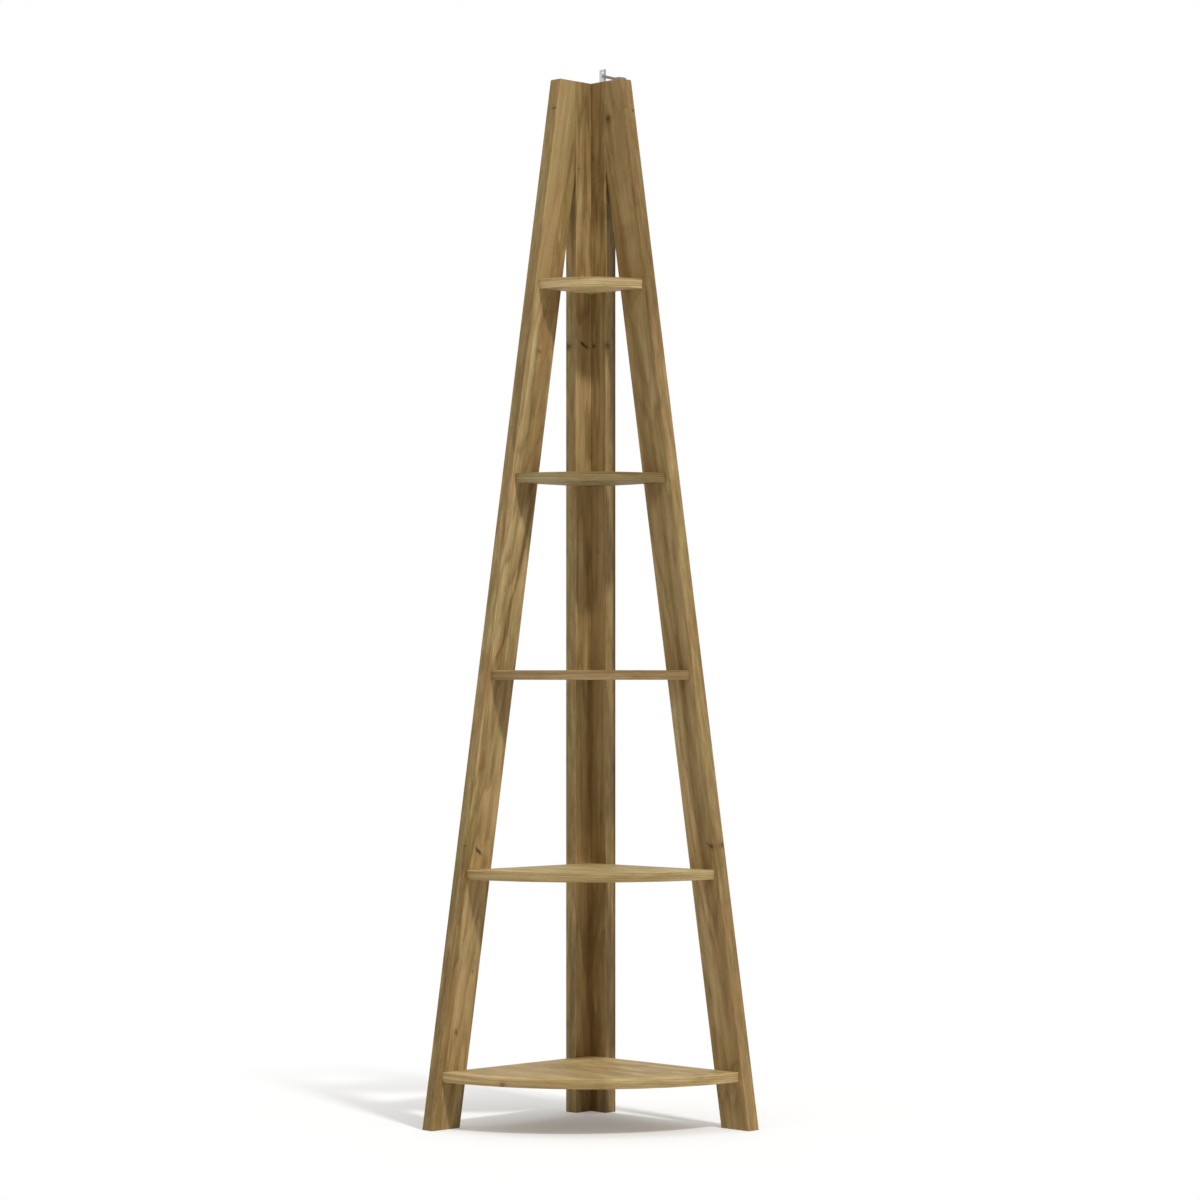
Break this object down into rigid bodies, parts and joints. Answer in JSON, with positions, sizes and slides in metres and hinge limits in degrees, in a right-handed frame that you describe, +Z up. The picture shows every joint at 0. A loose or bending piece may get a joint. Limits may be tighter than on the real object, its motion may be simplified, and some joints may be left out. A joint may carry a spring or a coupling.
{
  "type": "corner ladder shelf",
  "caption": "Corner ladder shelf with leaning legs, a right-angled rear post, quarter-round shelves and a swivelling wall anchor.",
  "frame": {"origin": "on the floor, under the middle of the outline", "axes": "+Z up, -Y the open front that faces the room, +Y towards the corner of the room, +X to the right seen from the front"},
  "size_m": [0.553, 0.3784, 1.7863],
  "materials": {
    "board_oak": "matt oiled oak with small dark knots and fine cracks",
    "shelf_oak": "matt oiled oak, a little lighter than the frame",
    "dowel_beech": "bare beech",
    "screw_zinc": "bright zinc plate",
    "anchor_steel": "satin zinc plate"
  },
  "bodies": {
    "frame": {"post_board_left": "board_oak", "leg_left": "board_oak", "post_board_right": "board_oak", "leg_right": "board_oak", "shelf_1": "shelf_oak", "shelf_2": "shelf_oak", "shelf_3": "shelf_oak", "shelf_4": "shelf_oak", "shelf_5": "shelf_oak", "leg_screw_left_1": "screw_zinc", "post_screw_left_1": "screw_zinc", "leg_dowel_left_1": "dowel_beech", "leg_screw_left_2": "screw_zinc", "post_screw_left_2": "screw_zinc", "leg_dowel_left_2": "dowel_beech", "leg_screw_left_3": "screw_zinc", "post_screw_left_3": "screw_zinc", "leg_dowel_left_3": "dowel_beech", "leg_screw_left_4": "screw_zinc", "post_screw_left_4": "screw_zinc", "leg_dowel_left_4": "dowel_beech", "leg_screw_left_5": "screw_zinc", "post_screw_left_5": "screw_zinc", "leg_dowel_left_5": "dowel_beech", "top_dowel_left_1": "dowel_beech", "top_dowel_left_2": "dowel_beech", "leg_screw_right_1": "screw_zinc", "post_screw_right_1": "screw_zinc", "leg_dowel_right_1": "dowel_beech", "leg_screw_right_2": "screw_zinc", "post_screw_right_2": "screw_zinc", "leg_dowel_right_2": "dowel_beech", "leg_screw_right_3": "screw_zinc", "post_screw_right_3": "screw_zinc", "leg_dowel_right_3": "dowel_beech", "leg_screw_right_4": "screw_zinc", "post_screw_right_4": "screw_zinc", "leg_dowel_right_4": "dowel_beech", "leg_screw_right_5": "screw_zinc", "post_screw_right_5": "screw_zinc", "leg_dowel_right_5": "dowel_beech", "top_dowel_right_1": "dowel_beech", "top_dowel_right_2": "dowel_beech", "corner_screw_1": "screw_zinc", "corner_screw_2": "screw_zinc", "corner_screw_3": "screw_zinc", "corner_screw_4": "screw_zinc", "corner_screw_5": "screw_zinc", "wall_anchor_screw": "screw_zinc"},
    "anchor": {"wall_anchor": "anchor_steel"}
  },
  "joints": [
    {"name": "wall_anchor_swivel", "type": "hinge", "parent": "frame", "child": "anchor", "pos_m": [0.04808, 0.12415, 1.7603], "axis": [0, 0, 1], "range_deg": [0, 90]}
  ]
}
